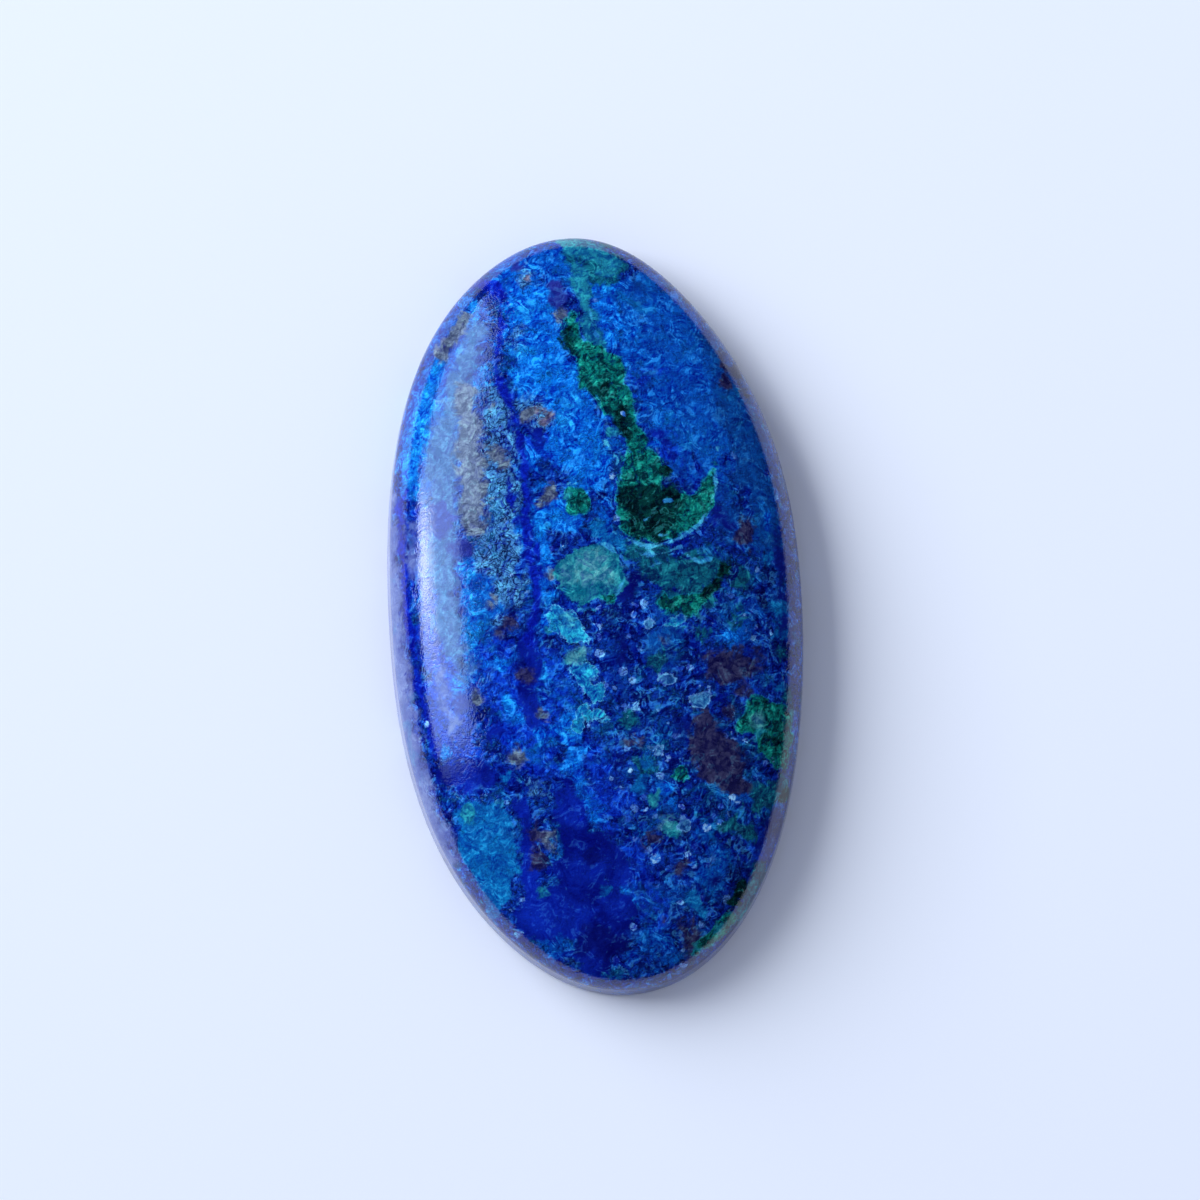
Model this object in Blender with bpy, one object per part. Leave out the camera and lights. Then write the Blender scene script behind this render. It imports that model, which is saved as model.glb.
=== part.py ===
# An oval cabochon cut from one piece of azurite rock: a flat ground back, a small bevel, a low
# upright side and a polished dome. Metres, +Z up, the flat back on z = 0, the long axis along Y.

import math

import bmesh
import bpy
from mathutils import Vector

# Driving dimensions, in metres.
LENGTH = 0.0383  # along Y
WIDTH = 0.0209  # along X
THICKNESS = 0.0060  # from the flat back to the top of the dome
SIDE_TOP = 0.0019  # mean height at which the upright side turns into the dome
SIDE_SWING = 0.0003  # how much higher the side is where it is highest, and lower opposite
SIDE_HIGHEST = math.radians(60)  # where round the oval that is, from +X towards +Y
SIDE_LEAN = 0.00012  # how far the side has leaned inwards by its top
BACK_BEVEL = 0.00035  # width and height of the bevel round the back

# Shape of the oval, seen from above.
OVAL_POWER = 2.086  # 2 is an ellipse, and a little more is fuller at the shoulders
HAND_CUT = (  # small waves left by grinding by hand: (waves round the oval, cosine, sine)
    (3, 0.0024, 0.0),
    (4, 0.0, 0.0071),
    (5, 0.0042, 0.0020),
    (6, -0.0036, 0.0040),
)

# Shape of the dome, from the side. It leaves the upright side without a corner.
DOME_POWER = 2.2  # 2 is an ellipse, and a little more is flatter on top

# Fineness of the mesh.
SPOKES = 112
DOME_RINGS = 22
CROWN = 0.05  # share of the oval that the flat cap at the very top covers

STONE_COLOUR = (0.012, 0.075, 0.330, 1.0)
STONE_ROUGHNESS = 0.12


def oval_point(angle):
    """A point of the uncentred outline at full size, in the plane z = 0."""
    across, along = math.cos(angle), math.sin(angle)
    reach = (abs(across) ** OVAL_POWER + abs(along) ** OVAL_POWER) ** (-1 / OVAL_POWER)
    reach *= 1 + sum(
        cosine * math.cos(waves * angle) + sine * math.sin(waves * angle)
        for waves, cosine, sine in HAND_CUT
    )
    return Vector((reach * across, reach * along, 0.0))


def fitted_outline():
    """The outline's points, with its box stretched to WIDTH by LENGTH and centred on the origin."""
    points = [oval_point(2 * math.pi * spoke / SPOKES) for spoke in range(SPOKES)]
    low = Vector(min(point[axis] for point in points) for axis in range(3))
    high = Vector(max(point[axis] for point in points) for axis in range(3))
    middle, spread = (low + high) / 2, high - low
    return [
        Vector(((p.x - middle.x) * WIDTH / spread.x, (p.y - middle.y) * LENGTH / spread.y, 0.0))
        for p in points
    ]


def side_heights(climb):
    """Height at each spoke, where climb runs from 0 at the top of the bevel to 1 at the rim."""
    heights = []
    for spoke in range(SPOKES):
        angle = 2 * math.pi * spoke / SPOKES
        top = SIDE_TOP + SIDE_SWING * math.cos(angle - SIDE_HIGHEST)
        heights.append(BACK_BEVEL + (top - BACK_BEVEL) * climb)
    return heights


def moved_in(outline, inset, heights):
    """The outline moved inwards by inset, square to its own edge, and lifted to heights."""
    ring = []
    for index, (point, height) in enumerate(zip(outline, heights)):
        edge = outline[(index + 1) % SPOKES] - outline[index - 1]
        inwards = Vector((-edge.y, edge.x, 0.0)).normalized()
        ring.append(point + inwards * inset + Vector((0.0, 0.0, height)))
    return ring


def dome_height(share, side_top):
    """Height of the dome where share runs from 0 at the middle to 1 at the top of the side."""
    return side_top + (THICKNESS - side_top) * math.sqrt(max(0.0, 1 - share**DOME_POWER))


def dome_rings(rim):
    """Rings from the rim of the dome up to its crown, evenly spaced along the curve."""
    rings = []
    last = math.asin(CROWN ** (DOME_POWER / 2))
    for step in range(1, DOME_RINGS + 1):
        turn = math.pi / 2 + (last - math.pi / 2) * step / DOME_RINGS
        share = math.sin(turn) ** (2 / DOME_POWER)
        rings.append([Vector((p.x * share, p.y * share, dome_height(share, p.z))) for p in rim])
    return rings


def stone_rings():
    """All rings, from the edge of the flat back, up the bevel and the side, to the crown."""
    outline = fitted_outline()
    rim = moved_in(outline, SIDE_LEAN, side_heights(1.0))
    side = [
        moved_in(outline, BACK_BEVEL, [0.0] * SPOKES),
        moved_in(outline, 0.0, side_heights(0.0)),
        moved_in(outline, SIDE_LEAN / 2, side_heights(0.5)),
        rim,
    ]
    return side + dome_rings(rim)


def stone_material():
    material = bpy.data.materials.new("polished azurite")
    material.use_nodes = True
    shader = material.node_tree.nodes["Principled BSDF"]
    shader.inputs["Base Color"].default_value = STONE_COLOUR
    shader.inputs["Roughness"].default_value = STONE_ROUGHNESS
    shader.inputs["Metallic"].default_value = 0.0
    return material


def build_stone():
    """Lofts the rings into one closed solid, with the back and the crown as flat faces."""
    shape = bmesh.new()
    rings = [[shape.verts.new(point) for point in ring] for ring in stone_rings()]
    for lower, upper in zip(rings, rings[1:]):
        for spoke in range(SPOKES):
            following = (spoke + 1) % SPOKES
            shape.faces.new((lower[spoke], lower[following], upper[following], upper[spoke]))
    shape.faces.new(reversed(rings[0]))
    shape.faces.new(rings[-1])
    bmesh.ops.recalc_face_normals(shape, faces=shape.faces)
    mesh = bpy.data.meshes.new("azurite_cabochon")
    shape.to_mesh(mesh)
    shape.free()
    mesh.shade_smooth()
    mesh.set_sharp_from_angle(angle=math.radians(30))
    mesh.materials.append(stone_material())
    stone = bpy.data.objects.new("azurite_cabochon", mesh)
    bpy.context.scene.collection.objects.link(stone)
    return stone


for leftover in list(bpy.data.objects):
    bpy.data.objects.remove(leftover)
build_stone()
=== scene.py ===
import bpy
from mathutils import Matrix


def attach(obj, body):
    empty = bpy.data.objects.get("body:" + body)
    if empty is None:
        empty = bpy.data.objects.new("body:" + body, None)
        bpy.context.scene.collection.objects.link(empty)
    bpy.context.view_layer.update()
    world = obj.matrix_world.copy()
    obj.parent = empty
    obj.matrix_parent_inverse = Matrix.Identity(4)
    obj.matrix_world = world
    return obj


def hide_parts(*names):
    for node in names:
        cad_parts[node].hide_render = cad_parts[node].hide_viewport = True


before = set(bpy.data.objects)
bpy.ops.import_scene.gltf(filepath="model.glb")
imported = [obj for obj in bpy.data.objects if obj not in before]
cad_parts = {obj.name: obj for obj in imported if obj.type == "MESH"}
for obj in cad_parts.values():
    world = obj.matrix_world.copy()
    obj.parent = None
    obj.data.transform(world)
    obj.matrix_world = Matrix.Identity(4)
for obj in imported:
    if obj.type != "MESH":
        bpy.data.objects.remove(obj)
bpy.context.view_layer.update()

import math

import bpy
import numpy as np
from mathutils import Matrix, Vector, noise

mm = 0.001  # sizes are in metres, or in millimetres where a comment says so


def linearColour(hexCode):
    # an sRGB hex colour as the linear red, green, blue and alpha that Blender mixes
    channels = [int(hexCode[i : i + 2], 16) / 255 for i in (1, 3, 5)]
    return [c / 12.92 if c <= 0.04045 else ((c + 0.055) / 1.055) ** 2.4 for c in channels] + [1.0]


def addNode(tree, kind, inputs=(), out=0, **settings):
    # adds a node, sets it up, feeds its inputs by place or name, and returns the output asked for
    node = tree.nodes.new(kind)
    for name, value in settings.items():
        setattr(node, name, value)
    live = [socket for socket in node.inputs if socket.enabled]
    named = inputs.items() if isinstance(inputs, dict) else enumerate(inputs)
    for key, value in named:
        socket = live[key] if isinstance(key, int) else next(s for s in live if s.name == key)
        if isinstance(value, bpy.types.NodeSocket):
            tree.links.new(value, socket)
        else:
            socket.default_value = value
    shown = [socket for socket in node.outputs if socket.enabled]
    return shown[out] if isinstance(out, int) else next(s for s in shown if s.name == out)


# The body: the same oval and dome as the CAD stone, on a finer mesh.
body = {
    "Length": 38.3 * mm,
    "Width": 20.9 * mm,
    "Thickness": 6.0 * mm,
    "Side Height": 1.9 * mm,  # mean height at which the upright side turns into the dome
    "Side Swing": 0.3 * mm,  # how much higher the side is where it is highest, and lower opposite
    "Side Highest": math.radians(60),  # where round the oval that is, from +X towards +Y
    "Side Lean": 0.12 * mm,
    "Back Edge": 0.35 * mm,  # radius of the rounded edge round the back
    "Oval Power": 2.086,  # 2 is an ellipse, a little more is fuller at the shoulders
    "Dome Power": 2.2,  # 2 is an ellipse, a little more is flatter on top
    "Unevenness": 0.05 * mm,  # how far hand polishing leaves the dome from a true curve
    "Columns": 150,
    "Rows": 270,
    "Side Rows": 12,
    "Seed": 4,
}
# small waves left by grinding by hand: (waves round the oval, cosine, sine)
ovalWaves = [(3, 0.0024, 0.0), (4, 0.0, 0.0071), (5, 0.0042, 0.0020), (6, -0.0036, 0.0040)]
rimStart = 0.7  # share of the grid after which its rows crowd together towards the rim
backEdgeShare = 0.3  # share of the side's rows that the rounded back edge takes
unevenSize = 4.5  # mm, length of one wave of the unevenness
unevenLevel = 0.62  # the noise's value that stays in place, which keeps the top inside the CAD box


def bodyTree():
    tree = bpy.data.node_groups.new("Cabochon body", "GeometryNodeTree")
    tree.interface.new_socket("Geometry", in_out="OUTPUT", socket_type="NodeSocketGeometry")
    for name, value in body.items():
        kind = "NodeSocketInt" if isinstance(value, int) else "NodeSocketFloat"
        tree.interface.new_socket(name, in_out="INPUT", socket_type=kind).default_value = value
    tree.interface.new_socket("Material", in_out="INPUT", socket_type="NodeSocketMaterial")
    given = tree.nodes.new("NodeGroupInput").outputs
    maths, vector = "ShaderNodeMath", "ShaderNodeVectorMath"

    grid = {"Size": (2, 2, 2), "Vertices X": given["Columns"], "Vertices Y": given["Rows"]}
    grid["Vertices Z"] = given["Side Rows"]
    box = addNode(tree, "GeometryNodeMeshCube", grid)
    place = addNode(tree, "GeometryNodeInputPosition")
    split = addNode(tree, "ShaderNodeSeparateXYZ", [place]).node.outputs
    across, along, level = split["X"], split["Y"], split["Z"]
    absAcross = addNode(tree, maths, [across], operation="ABSOLUTE")
    absAlong = addNode(tree, maths, [along], operation="ABSOLUTE")
    ring = addNode(tree, maths, [absAcross, absAlong], operation="MAXIMUM")

    # the square grid becomes a disc: each square ring turns into a round one, evenly spaced in angle
    wideRatio = addNode(tree, maths, [along, across], operation="DIVIDE")
    tallRatio = addNode(tree, maths, [across, along], operation="DIVIDE")
    leftHalf = addNode(tree, maths, [across, 0.0], operation="LESS_THAN")
    lowHalf = addNode(tree, maths, [along, 0.0], operation="LESS_THAN")
    wideTurn = addNode(tree, maths, [wideRatio, math.pi / 4], operation="MULTIPLY")
    wideTurn = addNode(tree, maths, [leftHalf, math.pi, wideTurn], operation="MULTIPLY_ADD")
    tallTurn = addNode(tree, maths, [tallRatio, -math.pi / 4, math.pi / 2], operation="MULTIPLY_ADD")
    tallTurn = addNode(tree, maths, [lowHalf, math.pi, tallTurn], operation="MULTIPLY_ADD")
    wide = addNode(tree, "FunctionNodeCompare", [absAcross, absAlong], operation="GREATER_EQUAL")
    turn = addNode(tree, "GeometryNodeSwitch", [wide, tallTurn, wideTurn], input_type="FLOAT")

    # the oval's outline at full size
    cosine = addNode(tree, maths, [turn], operation="COSINE")
    sine = addNode(tree, maths, [turn], operation="SINE")
    powers = []
    for part in (cosine, sine):
        size = addNode(tree, maths, [part], operation="ABSOLUTE")
        powers.append(addNode(tree, maths, [size, given["Oval Power"]], operation="POWER"))
    total = addNode(tree, maths, powers, operation="ADD")
    root = addNode(tree, maths, [-1.0, given["Oval Power"]], operation="DIVIDE")
    reach = addNode(tree, maths, [total, root], operation="POWER")
    swell = 1.0
    for waves, cosineSize, sineSize in ovalWaves:
        shift = -math.atan2(sineSize, cosineSize)
        phase = addNode(tree, maths, [turn, waves, shift], operation="MULTIPLY_ADD")
        wave = addNode(tree, maths, [phase], operation="COSINE")
        height = math.hypot(cosineSize, sineSize)
        swell = addNode(tree, maths, [wave, height, swell], operation="MULTIPLY_ADD")
    reach = addNode(tree, maths, [reach, swell], operation="MULTIPLY")
    direction = addNode(tree, "ShaderNodeCombineXYZ", [cosine, sine])
    outline = addNode(tree, vector, {0: direction, "Scale": reach}, operation="SCALE")
    extent = {0: box, 2: outline}
    extent = addNode(tree, "GeometryNodeAttributeStatistic", extent, data_type="FLOAT_VECTOR")
    live = {socket.name: socket for socket in extent.node.outputs if socket.enabled}
    middle = addNode(tree, vector, [live["Min"], live["Max"]], operation="ADD")
    middle = addNode(tree, vector, {0: middle, "Scale": 0.5}, operation="SCALE")
    centred = addNode(tree, vector, [outline, middle], operation="SUBTRACT")
    spread = addNode(tree, vector, [live["Range"], (0, 0, 1)], operation="ADD")
    wanted = addNode(tree, "ShaderNodeCombineXYZ", [given["Width"], given["Length"]])
    fitted = addNode(tree, vector, [centred, spread], operation="DIVIDE")
    fitted = addNode(tree, vector, [fitted, wanted], operation="MULTIPLY")
    outwards = addNode(tree, vector, [fitted], operation="NORMALIZE")

    # the side, from the rounded edge at the back up to the rim
    climb = addNode(tree, maths, [level, 0.5, 0.5], operation="MULTIPLY_ADD")
    edge = addNode(tree, maths, [climb, backEdgeShare], operation="DIVIDE", use_clamp=True)
    edge = addNode(tree, maths, [edge, math.pi / 2], operation="MULTIPLY")
    edgeSine = addNode(tree, maths, [edge], operation="SINE")
    edgeCosine = addNode(tree, maths, [edge], operation="COSINE")
    wall = addNode(tree, maths, [climb, backEdgeShare], operation="SUBTRACT")
    wall = addNode(tree, maths, [wall, 1 - backEdgeShare], operation="DIVIDE", use_clamp=True)
    edgeIn = addNode(tree, maths, [1.0, edgeSine], operation="SUBTRACT")
    edgeIn = addNode(tree, maths, [edgeIn, given["Back Edge"]], operation="MULTIPLY")
    inset = addNode(tree, maths, [wall, given["Side Lean"], edgeIn], operation="MULTIPLY_ADD")
    edgeUp = addNode(tree, maths, [1.0, edgeCosine], operation="SUBTRACT")
    edgeUp = addNode(tree, maths, [edgeUp, given["Back Edge"]], operation="MULTIPLY")
    swing = addNode(tree, maths, [turn, given["Side Highest"]], operation="SUBTRACT")
    swing = addNode(tree, maths, [swing], operation="COSINE")
    sideTop = [swing, given["Side Swing"], given["Side Height"]]
    sideTop = addNode(tree, maths, sideTop, operation="MULTIPLY_ADD")
    wallRise = addNode(tree, maths, [sideTop, given["Back Edge"]], operation="SUBTRACT")
    sideUp = addNode(tree, maths, [wall, wallRise, edgeUp], operation="MULTIPLY_ADD")

    # rows of the dome: even in the middle, then closer and closer where the curve turns down
    crowd = 1 / ((1 - rimStart) ** 2 + 2 * rimStart * (1 - rimStart))
    even = addNode(tree, maths, [ring, 2 * crowd * (1 - rimStart)], operation="MULTIPLY")
    left = addNode(tree, maths, [1.0, ring], operation="SUBTRACT")
    left = addNode(tree, maths, [left, 2.0], operation="POWER")
    crowded = addNode(tree, maths, [left, -crowd, 1.0], operation="MULTIPLY_ADD")
    nearRim = addNode(tree, "FunctionNodeCompare", [ring, rimStart], operation="GREATER_THAN")
    share = addNode(tree, "GeometryNodeSwitch", [nearRim, even, crowded], input_type="FLOAT")
    onTop = addNode(tree, "FunctionNodeCompare", [level, 0.999], operation="GREATER_THAN")
    scale = addNode(tree, "GeometryNodeSwitch", [onTop, ring, share], input_type="FLOAT")
    fall = addNode(tree, maths, [share, given["Dome Power"]], operation="POWER")
    rest = addNode(tree, maths, [1.0, fall], operation="SUBTRACT", use_clamp=True)
    bow = addNode(tree, maths, [rest], operation="SQRT")
    domeRise = addNode(tree, maths, [given["Thickness"], sideTop], operation="SUBTRACT")
    domeUp = addNode(tree, maths, [bow, domeRise], operation="MULTIPLY")

    # hand polishing leaves the dome a little uneven, most in the middle
    flatPlace = addNode(tree, vector, {0: fitted, "Scale": scale}, operation="SCALE")
    ripple = {"Vector": flatPlace, "W": given["Seed"], "Scale": 1 / (unevenSize * mm), "Detail": 1.0}
    ripple = addNode(tree, "ShaderNodeTexNoise", ripple, noise_dimensions="4D")
    ripple = addNode(tree, maths, [ripple, unevenLevel], operation="SUBTRACT")
    ripple = addNode(tree, maths, [ripple, given["Unevenness"]], operation="MULTIPLY")
    domeUp = addNode(tree, maths, [ripple, rest, domeUp], operation="MULTIPLY_ADD")
    height = addNode(tree, "GeometryNodeSwitch", [onTop, 0.0, domeUp], input_type="FLOAT")
    height = addNode(tree, maths, [height, sideUp], operation="ADD")

    pulled = addNode(tree, vector, {0: outwards, "Scale": inset}, operation="SCALE")
    flat = addNode(tree, vector, [fitted, pulled], operation="SUBTRACT")
    flat = addNode(tree, vector, {0: flat, "Scale": scale}, operation="SCALE")
    lift = addNode(tree, "ShaderNodeCombineXYZ", [0.0, 0.0, height])
    final = addNode(tree, vector, [flat, lift], operation="ADD")
    shape = addNode(tree, "GeometryNodeSetPosition", {"Geometry": box, "Position": final})
    shape = addNode(tree, "GeometryNodeSetShadeSmooth", {"Geometry": shape, "Shade Smooth": True})
    shape = addNode(tree, "GeometryNodeRealizeInstances", [shape])
    shape = addNode(tree, "GeometryNodeSetMaterial", {"Geometry": shape, "Material": given["Material"]})
    tree.links.new(shape, tree.nodes.new("NodeGroupOutput").inputs[0])
    return tree


def buildStone(material):
    tree = bodyTree()
    maker = bpy.data.objects.new("stone_maker", bpy.data.meshes.new("stone_maker"))
    bpy.context.scene.collection.objects.link(maker)
    modifier = maker.modifiers.new("Cabochon body", "NODES")
    modifier.node_group = tree
    for socket in tree.interface.items_tree:
        if socket.in_out == "INPUT":
            modifier[socket.identifier] = material if socket.name == "Material" else body[socket.name]
    maker.update_tag()
    shaped = maker.evaluated_get(bpy.context.evaluated_depsgraph_get())
    mesh = bpy.data.meshes.new_from_object(shaped)
    mesh.name = "azurite_stone"
    bpy.data.objects.remove(maker)
    stone = bpy.data.objects.new("azurite_stone", mesh)
    bpy.context.scene.collection.objects.link(stone)
    return stone


# The markings: each mineral lies where strokes were laid over the dome, in mm as seen from
# above. A stroke is a run of (x, y, half width) points, and a spot is one round point. They are
# painted in this order. "needles" is how strongly the fine crystals show, "edge" how soft the edge
# is, "ragged" how far noise moves it, "rim" a rind of another colour, its half width and strength,
# and "cover" how much of what lies under it is hidden.
markings = {
    # ordinary blue rock between the brighter minerals
    "midBlue": {
        "tones": ("#043C9C", "#0860C4"), "grain": "felt",
        "needles": 0.9, "edge": 0.5, "ragged": 2.0,
        "strokes": [
            [(-2.8, 17.4, 1), (0, 17.8, 1)],
            [(1.2, 16.4, 0.9), (2.6, 15.2, 1.3), (3, 13.2, 1.3), (3.8, 11.4, 1.3), (4.2, 9.4, 1.3),
             (4.8, 7.8, 1.1)],
            [(-5.8, 14.2, 1.4), (-7.4, 9.5, 1.7), (-8, 7, 1.2)],
            [(-5.6, 2.4, 1.1), (-5.6, -0.6, 0.8)], [(5.4, -9.6, 0.5), (7.4, -10, 0.5)],
            [(4.2, -12.2, 0.3), (5, -13, 0.4), (4.2, -14.4, 0.4)],
        ],
        "spots": [(-6.4, -3, 0.8), (1.2, -16.9, 1), (-3.6, -16.3, 0.6), (7, -1.6, 0.8), (1.9, -14.6, 0.6)],
    },
    # smoother rock in the upper right
    "smoothBlue": {
        "tones": ("#0642A0", "#0A5EC4"), "grain": "felt",
        "needles": 0.75, "edge": 0.5, "ragged": 1.6,
        "strokes": [
            [(3.9, 15.5, 1), (5, 13.6, 1.3), (5.6, 11.4, 1.5), (6, 9, 1.4), (6.2, 6.8, 0.9)],
            [(4.6, 7.5, 0.8), (5.1, 6.3, 0.6)],
        ],
    },
    "darkBlue": {
        "tones": ("#083480", "#0A52A8"), "grain": "felt",
        "needles": 0.6, "edge": 0.5, "ragged": 1.6,
        "strokes": [
            [(6.9, 13, 0.7), (7.6, 10.8, 0.9), (8.1, 8.2, 1), (8.5, 5.5, 1), (8.6, 3, 0.8)],
            [(3, -1.8, 0.6), (3, -3, 0.5)], [(6.6, 5, 0.5), (6.8, 3, 0.5)],
        ],
        "spots": [(3.3, 15.5, 0.45)],
    },
    # royal blue, where the rock is nearly all azurite
    "royalBlue": {
        "tones": ("#06208C", "#0A40C4"), "grain": "blotch",
        "needles": 0.8, "edge": 0.35, "ragged": 1.8,
        "strokes": [
            [(-5.6, -1.4, 0.6), (-4.9, -3.6, 1.2), (-4.6, -6, 1.1), (-3.2, -7.8, 0.8)],
            [(-2.5, -2.6, 0.5), (-2.6, -5, 0.8)], [(-0.8, -8.4, 1), (-0.4, -10.4, 0.8)],
            [(-2.4, 8.3, 0.6), (-1.6, 7.2, 0.35)], [(3.9, 8.2, 0.6), (4.5, 7.2, 0.4)],
            [(0.6, -12.4, 0.6), (0.4, -14.2, 0.6), (1.9, -15.4, 0.6)],
            [(-8.6, 5, 0.5), (-8.4, 1, 0.7), (-8, -3, 1.1), (-7.6, -6.6, 0.8)],
        ],
        "spots": [(3.3, 11, 0.6), (7, -5, 0.6), (6.8, -12.8, 0.5), (0.6, -9.8, 0.5)],
    },
    # felted azurite needles, the brightest blue
    "azure": {
        "tones": ("#054CB4", "#0A78E0"), "grain": "felt",
        "needles": 1.0, "edge": 0.35, "ragged": 1.7,
        "strokes": [
            [(-2.4, 16.6, 0.7), (-2.2, 15.4, 1.1), (-1.9, 13.4, 1.5), (-1.4, 11.6, 1.6), (-0.9, 9.8, 1.5),
             (-0.3, 8.2, 1.5), (-0.2, 7, 1.3), (0.2, 6, 0.9)],
            [(1.7, 15.6, 0.6), (1.8, 14, 0.6), (2.5, 12.9, 0.4)],
            [(-1.7, 4.4, 0.7), (-0.8, 3.8, 0.6)],
            [(-2.7, 7.6, 0.2), (-2.1, 6.6, 0.55), (-1.3, 6.7, 0.4)],
            [(-2.5, 5.4, 0.4), (-2.5, 2.8, 0.35), (-2.6, 0.6, 0.4)],
            [(-4, 5.5, 0.3), (-4, 3.2, 0.4)],
            [(-2.3, -5.6, 0.5), (-2.1, -6.6, 0.7), (-2, -7.6, 0.4)],
            [(-1.9, -8.4, 0.2), (-1.4, -9.8, 0.25), (-1.2, -10.6, 0.25)],
            [(-5.2, -4.3, 0.2), (-4.2, -5.4, 0.2)], [(8.6, 4.2, 0.3), (8.9, 3.4, 0.3)],
        ],
        "spots": [
            (3.5, 7.8, 0.3), (-3.3, 13.2, 0.4), (0.5, 4.8, 0.5), (-2.4, -0.9, 0.5), (-5.1, -2.6, 0.4),
            (-4.4, -6.6, 0.1), (-3.3, -6.5, 0.3), (6.5, -2.4, 0.4), (2.5, -9.7, 0.35), (-8, 9.6, 0.5),
            (0.7, -14.7, 0.25),
        ],
    },
    # the clear sky-blue band down the left shoulder, and scraps of the same
    "skyBlue": {
        "tones": ("#0660C0", "#1C90E4"), "grain": "felt",
        "needles": 0.9, "edge": 0.18, "ragged": 1.0,
        "strokes": [
            [(-7, 12.7, 0.35), (-7.5, 11.5, 0.5), (-8, 10, 0.6), (-8.5, 8.6, 0.6), (-8.8, 7.2, 0.45)],
            [(-5, 16.2, 0.2), (-4.7, 15.4, 0.3)],
            [(-6.5, 2.2, 0.25), (-6.3, 0.3, 0.35), (-6.4, -1, 0.4), (-6.5, -2.2, 0.4)],
            [(-3.6, -2.4, 0.12), (-3.15, -3.1, 0.12), (-3, -4, 0.12), (-3.1, -5, 0.12)],
            [(-2.8, 15.1, 0.3), (-2, 15.4, 0.3)], [(-0.7, 10.2, 0.5), (-0.9, 8.9, 0.4)],
        ],
        "spots": [
            (-4.6, 12, 0.35), (-7.1, -3.3, 0.4), (-8.1, -6.7, 0.3), (-2.8, 13, 0.3), (-0.9, 4.3, 0.2),
            (-2.1, -6.4, 0.25),
        ],
    },
    # pale slate-blue rock inside that band
    "slateBlue": {
        "tones": ("#22548C", "#4878AC"), "grain": "felt",
        "needles": 0.5, "edge": 0.3, "ragged": 1.0,
        "strokes": [
            [(-4.8, 14.6, 0.3), (-5.2, 13.4, 0.6), (-6, 11.4, 0.6), (-6.7, 9.4, 0.7), (-7.1, 7.4, 0.8),
             (-7.4, 4.4, 0.6), (-7.6, 2, 0.7), (-7.4, -1.4, 0.5), (-6.9, -2.6, 0.4)],
        ],
    },
    # pale lavender along the left foot of the dome; on the very edge it is painted reflection of the bright
    # floor that the steep side mirrors
    "lavender": {
        "tones": ("#3A4C98", "#6E7EB4"), "grain": "cloud",
        "needles": 0.25, "edge": 0.3, "ragged": 0.8,
        "strokes": [
            [(-8.9, 4.8, 0.35), (-9, 2.4, 0.35)],
            [(-8.1, -2.6, 0.1), (-7.9, -4.2, 0.2), (-7.6, -5.8, 0.1)],
            # painted reflection: these strokes on the very edge stand in for the bright floor mirrored by
            # the steep side
            [(-9.9, 6.4, 0.3), (-10.3, 2, 0.65), (-10.3, -2, 0.65), (-9.9, -6, 0.5)],
            [(-9.9, -6, 0.45), (-9.2, -9.4, 0.5), (-8.4, -11.8, 0.4)],
        ],
    },
    # grey-green rock full of black curls, down the left of the middle
    "curledGrey": {
        "tones": ("#081C50", "#4484C0"), "grain": "curl",
        "needles": 0.9, "edge": 0.3, "ragged": 1.3,
        "strokes": [
            [(-4.3, 10.6, 0.45), (-4.3, 8, 0.75), (-4.4, 5.5, 0.85), (-4.7, 3, 0.85), (-4.5, 0.8, 0.7)],
            [(-2.4, 10, 0.45), (-2, 9.2, 0.5)],
        ],
        "spots": [(-2.2, 16.6, 0.45), (-2.5, 13.7, 0.3), (-4.9, -0.9, 0.4), (-3.9, -8.8, 0.3)],
    },
    # iron-stained clay, grey to brown
    "ironGrey": {
        "tones": ("#3C4862", "#66768C"), "grain": "blotch",
        "needles": 0.6, "edge": 0.2, "ragged": 0.9,
        "strokes": [
            [(-5.6, 11.4, 0.4), (-5.7, 8.8, 0.6), (-5.7, 6, 0.7), (-5.8, 4.3, 0.45)],
            [(-5.4, 15, 0.3), (-6.1, 14.1, 0.4), (-6.8, 13.3, 0.3)],
            [(-4.5, 7.9, 0.22), (-3.9, 7.2, 0.22)], [(-3.7, -11.2, 0.3), (-3.5, -11.9, 0.2)],
            [(-1.6, 6, 0.1), (-2, 5.5, 0.22), (-2.4, 5.1, 0.2)],
        ],
        "spots": [
            (-6.4, -4.2, 0.2), (-4.3, 10.3, 0.2), (-4.7, -7.4, 0.3), (-3.4, -5.2, 0.18),
            (-0.6, 14.6, 0.35), (-2.1, 1.4, 0.22), (-5.3, 0.3, 0.15), (-5, -1.2, 0.2), (-2.7, 9.55, 0.35),
        ],
    },
    # the warmest of the iron stain
    "tanStain": {
        "tones": ("#46445C", "#706C88"), "grain": "blotch",
        "needles": 0.6, "edge": 0.1, "ragged": 0.5,
        "strokes": [
            [(-2.2, 9.9, 0.1), (-1.6, 9.6, 0.2), (-1.9, 9.2, 0.15)],
            [(7.4, -7, 0.08), (7.7, -7.7, 0.1)],
        ],
        "spots": [(-2, 16.9, 0.12)],
    },
    # the deep blue foot of the stone, solid azurite
    "deepBlue": {
        "tones": ("#040E70", "#0A2AA8"), "grain": "cloud",
        "needles": 0.5, "edge": 0.16, "ragged": 0.9,
        "strokes": [
            [(-8, -7.8, 0.6), (-6.7, -8.1, 0.7), (-5.8, -8.5, 0.2)],
            [(-4.5, -9.8, 0.35), (-4.5, -12.6, 0.35), (-4.6, -14.6, 0.5), (-4.2, -15.2, 1.1),
             (-2.6, -15, 1.4), (-0.5, -15.2, 1.2)],
            [(-2.4, -9.4, 0.5), (-2.2, -11, 0.8), (-2, -13, 1.1), (-1.6, -15, 1.4), (-1.6, -17, 1.1)],
            [(-0.9, -12, 0.7), (-0.2, -13.4, 0.7)],
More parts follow.
